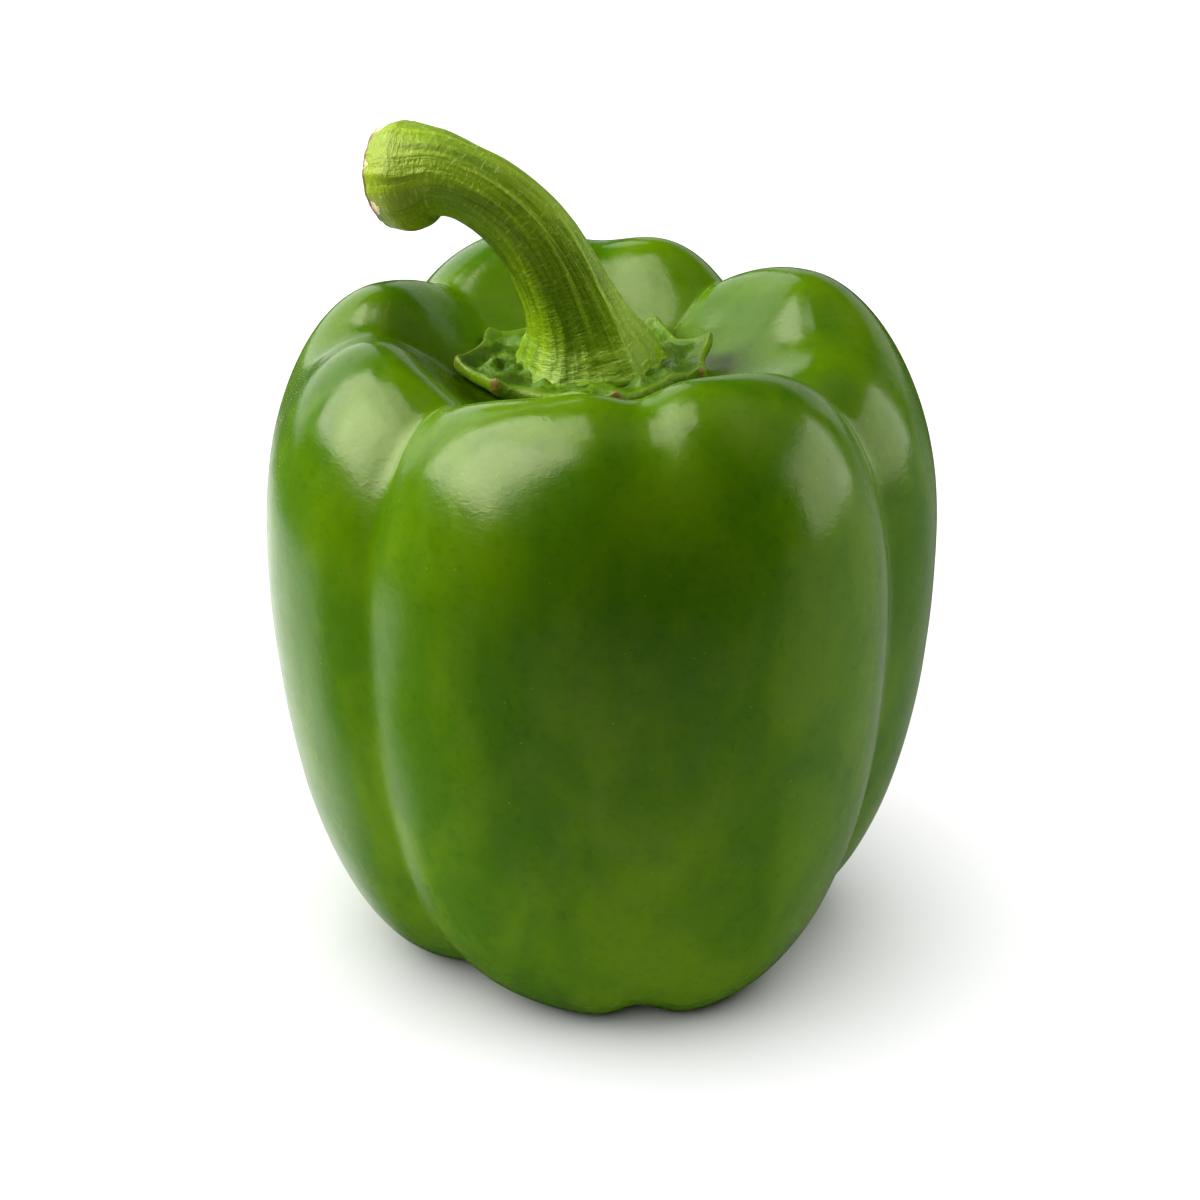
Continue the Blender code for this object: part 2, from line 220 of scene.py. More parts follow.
class Recipe:
    """A new material, with short calls that add its nodes and join them."""

    def __init__(self, name: str) -> None:
        """Starts a material with only its shader and its output."""
        self.material = bpy.data.materials.new(name)
        self.material.use_nodes = True
        self.tree = self.material.node_tree
        self.shader = self.tree.nodes["Principled BSDF"]

    def feed(self, socket: Socket, value: object) -> None:
        """Joins another node's socket to this one, or sets its value."""
        if isinstance(value, Socket):
            self.tree.links.new(value, socket)
        elif isinstance(value, tuple) and socket.type == "RGBA" and len(value) == 3:
            socket.default_value = (*value, 1.0)
        else:
            socket.default_value = value

    def add(self, kind: str, inputs: dict[object, object], **settings: object) -> bpy.types.Node:
        """Adds one node.

        Args:
            kind: the node's type.
            inputs: socket names or numbers, with a value or another node's socket for each.
            settings: the node's own properties.

        Returns:
            The new node.
        """
        node = self.tree.nodes.new(kind)
        for key, value in settings.items():
            setattr(node, key, value)
        for key, value in inputs.items():
            self.feed(node.inputs[key], value)
        return node

    def place(self, stretch: Triple = (1.0, 1.0, 1.0)) -> Socket:
        """Object coordinates in metres, stretched along each axis."""
        spot = self.add("ShaderNodeTexCoord", {}).outputs["Object"]
        return self.add("ShaderNodeMapping", {"Vector": spot, "Scale": stretch}).outputs[0]

    def attribute(self, name: str) -> Socket:
        """A number kept on the mesh."""
        return self.add("ShaderNodeAttribute", {}, attribute_name=name).outputs["Fac"]

    def grain(self, stretch: Triple) -> Socket:
        """The stalk's own straightened coordinates, stretched along each axis."""
        spot = self.add("ShaderNodeAttribute", {}, attribute_name="grain").outputs["Vector"]
        return self.add("ShaderNodeMapping", {"Vector": spot, "Scale": stretch}).outputs[0]

    def noise(self, vector: Socket, size: float, detail: float = 2.0, bend: float = 0.0) -> Socket:
        """Noise from 0 to 1, with bumps of a size in millimetres."""
        inputs = {"Vector": vector, "Scale": 1.0 / (size * MM), "Detail": detail, "Distortion": bend}
        return self.add("ShaderNodeTexNoise", inputs).outputs[0]

    def cells(self, vector: Socket, size: float) -> Socket:
        """Distance to the nearest of many scattered points, a size in millimetres apart."""
        inputs = {"Vector": vector, "Scale": 1.0 / (size * MM)}
        return self.add("ShaderNodeTexVoronoi", inputs).outputs["Distance"]

    def rescale(self, value: Socket, low: float, high: float, start: float, end: float) -> Socket:
        """Maps low..high smoothly on to start..end."""
        inputs = {"Value": value, 1: low, 2: high, 3: start, 4: end}
        kind = "SMOOTHSTEP"
        return self.add("ShaderNodeMapRange", inputs, interpolation_type=kind).outputs[0]

    def product(self, first: Socket, second: object) -> Socket:
        """Two numbers multiplied."""
        return self.add("ShaderNodeMath", {0: first, 1: second}, operation="MULTIPLY").outputs[0]

    def total(self, first: Socket, second: object) -> Socket:
        """Two numbers added."""
        return self.add("ShaderNodeMath", {0: first, 1: second}, operation="ADD").outputs[0]

    def layer(self, below: object, above: object, share: object, blend: Blend = Blend.COVER) -> Socket:
        """Lays one colour over another.

        Args:
            below: the colour that is covered.
            above: the colour laid over it.
            share: how much of it, a number or a socket.
            blend: how the two combine.

        Returns:
            The colour that results.
        """
        node = self.add("ShaderNodeMix", {}, data_type="RGBA", blend_type=blend.value)
        self.feed(node.inputs[0], share)
        self.feed(node.inputs[6], below)
        self.feed(node.inputs[7], above)
        return node.outputs[2]

    def bump(self, height: Socket, depth: float, under: Socket | None = None) -> Socket:
        """A fine relief of a depth in millimetres, over another relief."""
        inputs = {"Height": height, "Strength": 1.0, "Distance": depth * MM}
        if under is not None:
            inputs["Normal"] = under
        return self.add("ShaderNodeBump", inputs).outputs[0]

    def dress(self, piece: bpy.types.Object, slot: str, **sockets: object) -> None:
        """Sets the shader's sockets and puts the material on a piece.

        Args:
            piece: the object to dress.
            slot: the record's material slot that it stands for; not used.
            sockets: the shader's socket names, with _ for a space, and a value for each.
        """
        for name, value in sockets.items():
            self.feed(self.shader.inputs[name.replace("_", " ")], value)
        piece.data.materials.clear()
        piece.data.materials.append(self.material)


@dataclass(frozen=True)
class Furrow:
    """A groove between two lobes."""

    heading: float
    depth: float


@dataclass(frozen=True)
class Dip:
    """A shallow dip down the middle of a lobe: its heading, half width and depths."""

    heading: float
    half_width: float
    shoulder: float
    middle: float
    foot: float


@dataclass(frozen=True)
class HalfLobe:
    """How far half a lobe reaches out, and how much its crest is lifted."""

    reach: float
    lift: float


@dataclass(frozen=True)
class Profile:
    """One outline of the skin: where it crests, is widest and comes down to its foot."""

    crest_radius: float
    crest_height: float
    widest_radius: float
    widest_height: float
    foot_radius: float
    foot_height: float


@dataclass(frozen=True)
class FruitShape:
    """Where the skin runs: a rib outline and a furrow outline, mixed across each lobe."""

    rib: Profile = Profile(
        crest_radius=27.5, crest_height=85.0, widest_radius=43.0, widest_height=58.0,
        foot_radius=21.0, foot_height=-1.0,
    )
    valley: Profile = Profile(
        crest_radius=26.0, crest_height=79.5, widest_radius=38.5, widest_height=52.0,
        foot_radius=16.0, foot_height=2.0,
    )
    hollow_radius: float = 14.0
    hollow_height: float = 74.5
    blossom_height: float = 3.5
    side_squareness: float = 2.1
    crest_share: float = 0.26
    widest_share: float = 0.46
    foot_share: float = 0.79
    softening: float = 0.02
    furrows: tuple[Furrow, ...] = (
        Furrow(-45.0, 0.7), Furrow(70.0, 1.2), Furrow(145.0, 1.1), Furrow(225.0, 0.6),
    )
    dips: tuple[Dip, ...] = (
        Dip(10.0, 8.0, 0.25, 0.10, 0.3), Dip(90.0, 14.0, 0.30, 0.10, 0.4),
        Dip(180.0, 14.0, 0.45, 0.05, 0.3), Dip(270.0, 11.0, 0.60, 0.10, 0.2),
    )
    half_lobes: tuple[HalfLobe, ...] = (
        HalfLobe(0.95, -2.0), HalfLobe(1.00, -0.5), HalfLobe(0.99, -2.0), HalfLobe(1.00, 0.0),
        HalfLobe(0.98, 1.5), HalfLobe(1.04, 1.0), HalfLobe(0.97, 0.0), HalfLobe(0.95, -2.0),
    )
    side_fullness: float = 3.5
    end_fullness: float = 2.0
    side_rounding: float = 0.20
    end_rounding: float = 0.12
    shoulder_at: float = 0.22
    shoulder_spread: float = 0.12
    foot_spread: float = 0.20
    dip_shoulder_at: float = 0.24
    dip_spread: float = 0.12
    lift_spread: float = 0.14
    end_flattening: float = 0.2
    reach_from: float = 0.12
    reach_over: float = 0.20
    hollow_share: float = 0.24
    middle_at: float = 0.50
    middle_spread: float = 0.25
    lean: float = -0.010
    lean_height: float = 40.0

    def quarter(self, share: Field, start: float, end: float) -> Field:
        """The angle round a quarter turn, 0 at one share and a right angle at another."""
        return np.clip((share - start) / (end - start), 0.0, 1.0) * math.pi / 2.0

    def sharp_outline_at(self, profile: Profile, share: Field) -> tuple[Field, Field]:
        """Radius and height on an outline: the hollow, shoulder, side and blossom end in turn."""
        radius = profile.crest_radius * share / self.crest_share
        wall_width = profile.crest_radius - self.hollow_radius
        wall = ease((np.abs(radius) - self.hollow_radius) / wall_width)
        hollow = (radius, self.hollow_height + (profile.crest_height - self.hollow_height) * wall)
        over = self.quarter(share, self.crest_share, self.widest_share)
        shoulder = (
            profile.crest_radius + (profile.widest_radius - profile.crest_radius) * np.sin(over),
            profile.widest_height + (profile.crest_height - profile.widest_height) * np.cos(over),
        )
        down = self.quarter(share, self.widest_share, self.foot_share)
        out = np.cos(down) ** (2.0 / self.side_squareness)
        drop = 1.0 - np.sin(down) ** (2.0 / self.side_squareness)
        side = (
            profile.foot_radius + (profile.widest_radius - profile.foot_radius) * out,
            profile.foot_height + (profile.widest_height - profile.foot_height) * drop,
        )
        inward = (share - self.foot_share) / (1.0 - self.foot_share)
        rise = ease(1.0 - np.abs(1.0 - inward))
        end = (
            profile.foot_radius * (1.0 - inward),
            profile.foot_height + (self.blossom_height - profile.foot_height) * rise,
        )
        zones = [share < self.crest_share, share < self.widest_share, share < self.foot_share]
        radius = np.select(zones, [hollow[0], shoulder[0], side[0]], end[0])
        height = np.select(zones, [hollow[1], shoulder[1], side[1]], end[1])
        return radius, height

    def outline_at(self, profile: Profile, share: Field) -> tuple[Field, Field]:
        """Radius and height on an outline, its arcs run smoothly into each other."""
        radius = np.zeros_like(share)
        height = np.zeros_like(share)
        total = sum(SOFT_WEIGHTS)
        for step, weight in zip(range(-2, 3), SOFT_WEIGHTS):
            at = self.sharp_outline_at(profile, share + step * self.softening)
            radius = radius + weight * at[0] / total
            height = height + weight * at[1] / total
        return radius, height

    def starts(self) -> Field:
        """The furrows' headings, counted from the first."""
        return np.array([furrow.heading - self.furrows[0].heading for furrow in self.furrows])

    def lobe_of(self, heading: Field) -> tuple[Field, Field, Field]:
        """Each heading's lobe, its place across the lobe, -1 to 1, and its turn from furrow 0."""
        edges = np.append(self.starts(), 360.0)
        round_to = np.mod(heading - self.furrows[0].heading, 360.0)
        lobe = np.searchsorted(edges, round_to, side="right") - 1
        lobe = np.clip(lobe, 0, len(self.furrows) - 1)
        across = 2.0 * (round_to - edges[lobe]) / (edges[lobe + 1] - edges[lobe]) - 1.0
        return lobe, across, round_to

    def half_lobe_value(self, round_to: Field, values: Sequence[float]) -> Field:
        """A value given for each half lobe, eased from one half's middle to the next."""
        dips = [dip.heading - self.furrows[0].heading for dip in self.dips]
        edges = np.sort(np.concatenate([self.starts(), dips, [360.0]]))
        middles = (edges[:-1] + edges[1:]) / 2.0
        middles = np.concatenate([[middles[-1] - 360.0], middles, [middles[0] + 360.0]])
        ring = np.concatenate([[values[-1]], values, [values[0]]])
        span = np.searchsorted(middles, round_to, side="right") - 1
        span = np.clip(span, 0, len(middles) - 2)
        part = ease((round_to - middles[span]) / (middles[span + 1] - middles[span]))
        return ring[span] * (1.0 - part) + ring[span + 1] * part

    def swell(self, heading: Field, share: Field) -> Field:
        """How far the skin stands out from the furrow outline towards the rib outline."""
        lobe, across, _ = self.lobe_of(heading)
        near_shoulder = hump(share, self.shoulder_at, self.shoulder_spread)
        near_end = np.maximum(near_shoulder, hump(share, self.foot_share, self.foot_spread))
        fullness = self.side_fullness + (self.end_fullness - self.side_fullness) * near_end
        swell = 1.0 - np.minimum(np.abs(across), 1.0) ** fullness
        swell = swell ** (1.0 - self.end_flattening * near_end)
        round_off = self.side_rounding + (self.end_rounding - self.side_rounding) * near_end
        swell = (np.hypot(swell, round_off) - round_off) / (np.hypot(1.0, round_off) - round_off)
        for dip in self.dips:
            depth = dip.middle + dip.shoulder * hump(share, self.dip_shoulder_at, self.dip_spread)
            depth = depth + dip.foot * hump(share, self.foot_share, self.dip_spread)
            swell = swell - depth * hump(turn(heading, dip.heading), 0.0, dip.half_width)
        depths = np.array([furrow.depth for furrow in self.furrows + self.furrows[:1]])
        side = ease((across + 1.0) / 2.0)
        depth = depths[lobe] * (1.0 - side) + depths[lobe + 1] * side
        depth = 1.0 + (depth - 1.0) * hump(share, self.middle_at, self.middle_spread)
        return 1.0 - (1.0 - swell) * depth

    def skin(self, heading: Field, share: Field) -> Field:
        """Points of the skin, with x, y and z last."""
        _, _, round_to = self.lobe_of(heading)
        swell = self.swell(heading, share)
        rib_radius, rib_height = self.outline_at(self.rib, share)
        furrow_radius, furrow_height = self.outline_at(self.valley, share)
        reach = self.half_lobe_value(round_to, [half.reach for half in self.half_lobes])
        lift = self.half_lobe_value(round_to, [half.lift for half in self.half_lobes])
        radius = furrow_radius + swell * (rib_radius - furrow_radius)
        radius = radius * (1.0 + (reach - 1.0) * ease((share - self.reach_from) / self.reach_over))
        height = furrow_height + swell * (rib_height - furrow_height)
        height = height + lift * hump(share, self.crest_share, self.lift_spread)
        turned = np.radians(heading)
        x = radius * np.sin(turned) + self.lean * (height - self.lean_height)
        return np.stack([x, -radius * np.cos(turned), height], axis=-1)

    def hollow_floor(self, x: Field, y: Field) -> Field:
        """Height of the skin in the top hollow under each point."""
        heading = np.degrees(np.arctan2(x, -y))
        shares = np.linspace(0.0, self.hollow_share, 49)
        step = 2.0
        grid = np.arange(-180.0, 180.0 + step / 2.0, step)
        skin = self.skin(*np.meshgrid(grid, shares, indexing="ij"))
        level = np.hypot(skin[..., 0], skin[..., 1])
        wanted = np.hypot(x, y)
        steps_round = (heading + 180.0) / step
        low = np.clip(steps_round.astype(int), 0, len(grid) - 2)
        part = steps_round - low
        floor = np.empty_like(x)
        for i in range(len(x)):
            ends = [np.interp(wanted[i], level[j], skin[j, :, 2]) for j in (low[i], low[i] + 1)]
            floor[i] = ends[0] * (1.0 - part[i]) + ends[1] * part[i]
        return floor


@dataclass(frozen=True)
class WaxySkin:
    """The fruit's skin: glossy, mottled deep green with tiny pale pores."""

    deep: Colour = (0.034, 0.094, 0.0001)
    # Darkest green, laid in the deeper patches; on the upper front it is painted shade.
    darkest_tone_and_shade: Colour = (0.016, 0.060, 0.0001)
    middle: Colour = (0.062, 0.130, 0.0001)
    yellowed: Colour = (0.100, 0.175, 0.0002)
    pore: Colour = (0.20, 0.30, 0.01)
    mottle_size: float = 12.0
    pore_spacing: float = 1.7
    wrinkle_size: float = 1.1
    wrinkle_depth: float = 0.026
    roughness: tuple[float, float] = (0.15, 0.23)

    def dress(self, piece: bpy.types.Object) -> None:
        """Puts the skin on the fruit."""
        recipe = Recipe("waxy_skin")
        spot = recipe.place()
        tall = recipe.place((1.0, 1.0, 0.55))
        mottle = recipe.noise(tall, self.mottle_size, 3.0, 0.4)
        colour = recipe.layer(self.deep, self.middle, recipe.rescale(mottle, 0.35, 0.62, 0.0, 1.0))
        patches = recipe.noise(spot, 2.6 * self.mottle_size, 2.0, 0.6)
        share = recipe.rescale(patches, 0.50, 0.80, 0.0, 0.22)
        colour = recipe.layer(colour, self.yellowed, share)
        streaks = recipe.noise(recipe.place((1.0, 1.0, 0.4)), 4.5, 3.0, 0.5)
        colour = recipe.layer(colour, self.deep, recipe.rescale(streaks, 0.45, 0.75, 0.0, 0.30))
        # Deeper green patches: the broad one on the upper front is painted shade, the others are the
        # skin's own tone.
        deepest_tone_and_shade = recipe.product(recipe.attribute("deep"), recipe.rescale(streaks, 0.2, 0.6, 0.7, 1.0))
        colour = recipe.layer(colour, self.darkest_tone_and_shade, deepest_tone_and_shade)
        hollow = recipe.rescale(recipe.attribute("hollow"), 0.2, 1.0, 0.0, 0.5)
        colour = recipe.layer(colour, self.yellowed, hollow)
        fine = recipe.noise(spot, 2.6, 3.0)
        colour = recipe.layer(
            colour, (0.72, 0.78, 0.6), recipe.rescale(fine, 0.50, 0.80, 0.0, 0.45), Blend.DARKEN
        )
        specks = recipe.rescale(recipe.noise(spot, 0.9, 3.0, 0.4), 0.50, 0.72, 0.0, 0.5)
        colour = recipe.layer(colour, (0.70, 0.78, 0.6), specks, Blend.DARKEN)
        pores = recipe.rescale(recipe.cells(spot, self.pore_spacing), 0.03, 0.10, 1.0, 0.0)
        some = recipe.rescale(recipe.noise(spot, 4.0, 1.0), 0.40, 0.70, 0.0, 0.45)
        colour = recipe.layer(colour, self.pore, recipe.product(pores, some))
        wrinkles = recipe.noise(recipe.place((1.0, 1.0, 1.6)), self.wrinkle_size, 4.0, 0.8)
        swells = recipe.noise(spot, 6.0, 2.0)
        relief = recipe.bump(swells, 0.05)
        relief = recipe.bump(wrinkles, self.wrinkle_depth, relief)
        low, high = self.roughness
        rough = recipe.rescale(recipe.noise(spot, 3.5, 3.0), 0.3, 0.7, low, high)
        recipe.dress(
            piece,
            "fruit_skin",
            Base_Color=colour,
            Roughness=rough,
            Normal=relief,
            Specular_IOR_Level=0.36,
            Specular_Tint=WARM_SHEEN,
            Subsurface_Weight=0.12,
            Subsurface_Radius=LIGHT_SPREAD,
            Subsurface_Scale=1.6 * MM,
        )


@dataclass(frozen=True)
class DeepToneAndShadePatch:
    """A patch of deeper green, painted shade on the upper front and the skin's own tone elsewhere: its
    place on the skin, its half width and height and its depth.
    """

    heading: float
    share: float
    half_width: float
    half_height: float
    depth: float


@dataclass
class Fruit:
    """The four-lobed fruit, from its hollow round to the feet that it stands on."""

    shape: FruitShape = field(default_factory=FruitShape)
    finish: WaxySkin = field(default_factory=WaxySkin)
    segments: int = 384
    rings: int = 240
    swell_size: float = 17.0
    swell_height: float = 0.16
    # The broad patch on the upper front is painted shade, where that face gets little light; the
    # others are the skin's own darker tone.
    deep_tone_and_shade_patches: tuple[DeepToneAndShadePatch, ...] = (
        DeepToneAndShadePatch(6.0, 0.435, 30.0, 0.05, 0.75), DeepToneAndShadePatch(-14.0, 0.52, 16.0, 0.05, 0.30),
        DeepToneAndShadePatch(104.0, 0.48, 22.0, 0.07, 0.45), DeepToneAndShadePatch(186.0, 0.42, 26.0, 0.05, 0.55),
        DeepToneAndShadePatch(-98.0, 0.56, 18.0, 0.07, 0.40), DeepToneAndShadePatch(-160.0, 0.50, 16.0, 0.06, 0.40),
    )

    def headings(self, heading: Field) -> Field:
        """Spreads even headings so that a line of vertices runs down every furrow."""
        step = 360.0 / self.segments
        starts = np.append(self.shape.starts(), 360.0)
        even = np.round(starts / step) * step
        slack = 0.001
        wrapped = np.mod(heading + slack, 360.0) - slack
        return self.shape.furrows[0].heading + np.interp(wrapped, even, starts)

    def build(self) -> tuple[bpy.types.Object, Vector]:
        """Models the fruit over its CAD solid.

        Returns:
            The fruit, and where its axis meets the floor in the frame, in millimetres.
        """
        shape, heading, share = sphere_grid(self.segments, self.rings)
        heading = self.headings(heading)
        skin = self.shape.skin(heading, share)
        move_vertices(shape, skin)
        uneven = roughen(skin, self.swell_size, 4.0) * self.swell_height
        # The skin is even in the hollow, and less uneven towards the blossom end.
        calm = ease((share - 0.10) / 0.10) * (1.0 - 0.6 * ease((share - 0.75) / 0.1))
        skin = skin + vertex_normals(shape) * (uneven * calm)[:, None]
        skin[:, 2] = np.maximum(skin[:, 2], 0.0)
        move_vertices(shape, skin)
        store(shape, "hollow", 1.0 - ease((share - 0.06) / 0.10))
        # Deeper green patches kept for the skin, the broad one on the upper front being painted shade.
        deep = np.zeros_like(share)
        for patch in self.deep_tone_and_shade_patches:
            round_it = hump(turn(heading, patch.heading), 0.0, patch.half_width)
            deep = deep + patch.depth * round_it * hump(share, patch.share, patch.half_height)
        store(shape, "deep", deep)
        low, high = (np.array(corner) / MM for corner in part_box("fruit"))
        middle = (skin.min(axis=0) + skin.max(axis=0)) / 2.0
        place = Vector(((low + high) / 2.0 - middle) * np.array([1.0, 1.0, 0.0]))
        piece = finish_piece("fruit", shape, place)
        self.finish.dress(piece)
        return piece, place


@dataclass(frozen=True)
class Tooth:
    """A point on the calyx's rim."""

    heading: float
    reach: float
    rise: float


@dataclass(frozen=True)
class Lump:
    """A swelling on the calyx beside the stem."""

    heading: float
    radius: float
    height: float
    half_width: float


@dataclass(frozen=True)
class CalyxTissue:
    """The calyx's flesh: dark and glossy inside, yellow-green at the lip, brown at the teeth."""

    inside: Colour = (0.040, 0.105, 0.001)
    outside: Colour = (0.072, 0.142, 0.001)
    lip: Colour = (0.085, 0.155, 0.002)
    dry: Colour = (0.150, 0.085, 0.020)
    fleck: Colour = (0.25, 0.33, 0.03)
    lump_depth: float = 0.22
    wrinkle_depth: float = 0.08

    def dress(self, piece: bpy.types.Object) -> None:
        """Puts the flesh on the calyx."""
        recipe = Recipe("calyx_tissue")
        spot = recipe.place()
        blotch = recipe.noise(spot, 3.0, 3.0, 0.5)
        colour = recipe.layer(
            self.inside, self.outside, recipe.rescale(blotch, 0.35, 0.7, 0.0, 0.8)
        )
        lip = recipe.rescale(recipe.attribute("lip"), 0.2, 0.9, 0.0, 0.9)
        colour = recipe.layer(colour, self.lip, lip)
        dry = recipe.total(recipe.attribute("tip"), recipe.rescale(blotch, 0.3, 0.7, -0.2, 0.2))
        colour = recipe.layer(colour, self.dry, recipe.rescale(dry, 0.55, 0.90, 0.0, 0.90))
        flecks = recipe.rescale(recipe.noise(spot, 0.6, 3.0), 0.58, 0.75, 0.0, 0.3)
        colour = recipe.layer(colour, self.fleck, flecks)
        relief = recipe.bump(recipe.noise(spot, 1.4, 3.0, 0.8), self.lump_depth)
        relief = recipe.bump(recipe.noise(spot, 0.4, 3.0, 0.4), self.wrinkle_depth, relief)
        recipe.dress(
            piece,
            "calyx",
            Base_Color=colour,
            Roughness=recipe.rescale(blotch, 0.3, 0.7, 0.28, 0.38),
            Normal=relief,
            Specular_IOR_Level=0.26,
            Specular_Tint=WARM_SHEEN,
            Subsurface_Weight=0.1,
            Subsurface_Radius=LIGHT_SPREAD,
            Subsurface_Scale=0.8 * MM,
        )


@dataclass
class Calyx:
    """The ruffled disc in the hollow that the stem grows from."""

    fruit: FruitShape
    finish: CalyxTissue = field(default_factory=CalyxTissue)
    centre: tuple[float, float] = (-1.5, 1.0)
    radius: float = 13.0
    top: float = 76.3
    wall: float = 1.9
    teeth: tuple[Tooth, ...] = (
        Tooth(-127.0, 2.2, 1.1), Tooth(-86.0, 3.0, 1.1), Tooth(-48.0, 1.7, 0.5),
        Tooth(14.0, 1.4, 1.0), Tooth(66.0, 1.8, 1.2), Tooth(107.0, 2.9, 1.6),
        Tooth(147.0, 2.4, 0.6), Tooth(188.0, 1.8, 0.6),
    )
    tooth_half_width: float = 15.0
    knob_half_width: float = 3.6
    knob_height: float = 0.45
    groove_at: float = 0.80
    groove_half_width: float = 0.11
    groove_depth: float = 0.6
    lip_from: float = 0.78
    lip_over: float = 0.24
    uneven_size: float = 2.0
    uneven_height: float = 0.30
    pebble_size: float = 2.8
    pebble_height: float = 0.8
    lumps: tuple[Lump, ...] = (
        Lump(36.0, 10.5, 1.6, 1.4), Lump(55.0, 11.0, 1.9, 1.7), Lump(80.0, 11.0, 1.5, 1.6),
        Lump(112.0, 11.0, 1.3, 1.7), Lump(140.0, 11.0, 0.9, 1.7), Lump(170.0, 11.0, 0.6, 1.8),
        Lump(200.0, 11.2, 1.0, 1.8), Lump(-58.0, 11.8, 1.4, 1.6), Lump(-80.0, 11.2, 1.1, 1.7),
        Lump(-108.0, 11.4, 1.3, 1.7), Lump(-135.0, 11.2, 0.9, 1.6), Lump(20.0, 11.0, 1.0, 1.4),
        Lump(-5.0, 11.2, 0.8, 1.6), Lump(-30.0, 11.2, 0.9, 1.6),
    )
    segments: int = 320
    rings: int = 96

    def rim(self, heading: Field) -> tuple[Field, Field, Field]:
        """Radius and rise of the rim, and how near each heading is to a tooth."""
        wave = np.radians(heading)
        edge = self.radius + 0.35 * np.sin(5.0 * wave + 1.0) + 0.20 * np.sin(11.0 * wave)
        rise = 0.6 + 0.40 * np.sin(7.0 * wave + 2.0)
        near_tooth = np.zeros_like(heading)
        for tooth in self.teeth:
            off = np.abs(turn(heading, tooth.heading))
            near = np.exp(-((off / self.tooth_half_width) ** 1.3))
            edge = edge + tooth.reach * near
            rise = rise + tooth.rise * near
            near_tooth = np.maximum(near_tooth, hump(off, 0.0, self.knob_half_width))
        return edge, rise, near_tooth

    def build(self, place: Vector) -> bpy.types.Object:
        """Models the calyx over its CAD solid.

        Args:
            place: where the fruit's axis meets the floor in the frame, in millimetres.

        Returns:
            The calyx.
        """
        shape, heading, share = sphere_grid(self.segments, self.rings)
        edge, rise, near_tooth = self.rim(heading)
        out = np.sin(share * math.pi) ** 1.25
        turned = np.radians(heading)
        x = self.centre[0] + edge * out * np.sin(turned)
        y = self.centre[1] - edge * out * np.cos(turned)
        floor = self.fruit.hollow_floor(x, y)
        groove = self.groove_depth * hump(out, self.groove_at, self.groove_half_width)
        top = self.top - groove + rise * ease((out - self.lip_from) / self.lip_over)
        for lump in self.lumps:
            middle = pointing(lump.heading, 0.0) * lump.radius
            apart = np.hypot(x - self.centre[0] - middle.x, y - self.centre[1] - middle.y)
            top = top + lump.height * hump(apart, 0.0, lump.half_width)
        flat = np.stack([x, y, np.full_like(x, self.top)], axis=-1)
        inner = 1.0 - ease((out - 0.80) / 0.14)
        uneven = self.uneven_height * roughen(flat, self.uneven_size, 9.0, 3)
        top = top + uneven * (0.4 + 0.6 * inner)
        top = top + self.pebble_height * pebbles(flat, self.pebble_size) * inner
        wall = self.wall * (1.0 - 0.12 * out**6)
        knob = near_tooth * ease((out - 0.90) / 0.08)
        top = np.maximum(top, floor + 0.6 * wall)
        bottom = np.maximum(floor + 0.02, top - wall) - 0.5 * self.knob_height * knob
        top = top + self.knob_height * knob
        over = np.sin(np.clip((0.5 - share) / 0.085, -1.0, 1.0) * math.pi / 2.0)
        height = (top + bottom) / 2.0 + over * (top - bottom) / 2.0
        move_vertices(shape, np.stack([x, y, height], axis=-1))
        below = ease((share - 0.5) / 0.05)
        store(shape, "lip", np.maximum(ease((out - 0.86) / 0.14), below))
        store(shape, "tip", near_tooth * ease((out - 0.93) / 0.07))
        piece = finish_piece("calyx", shape, place)
        self.finish.dress(piece)
        return piece


@dataclass(frozen=True)
class StemRing:
    """One round of the stem: its middle and its radius."""

    x: float
    y: float
    z: float
    radius: float


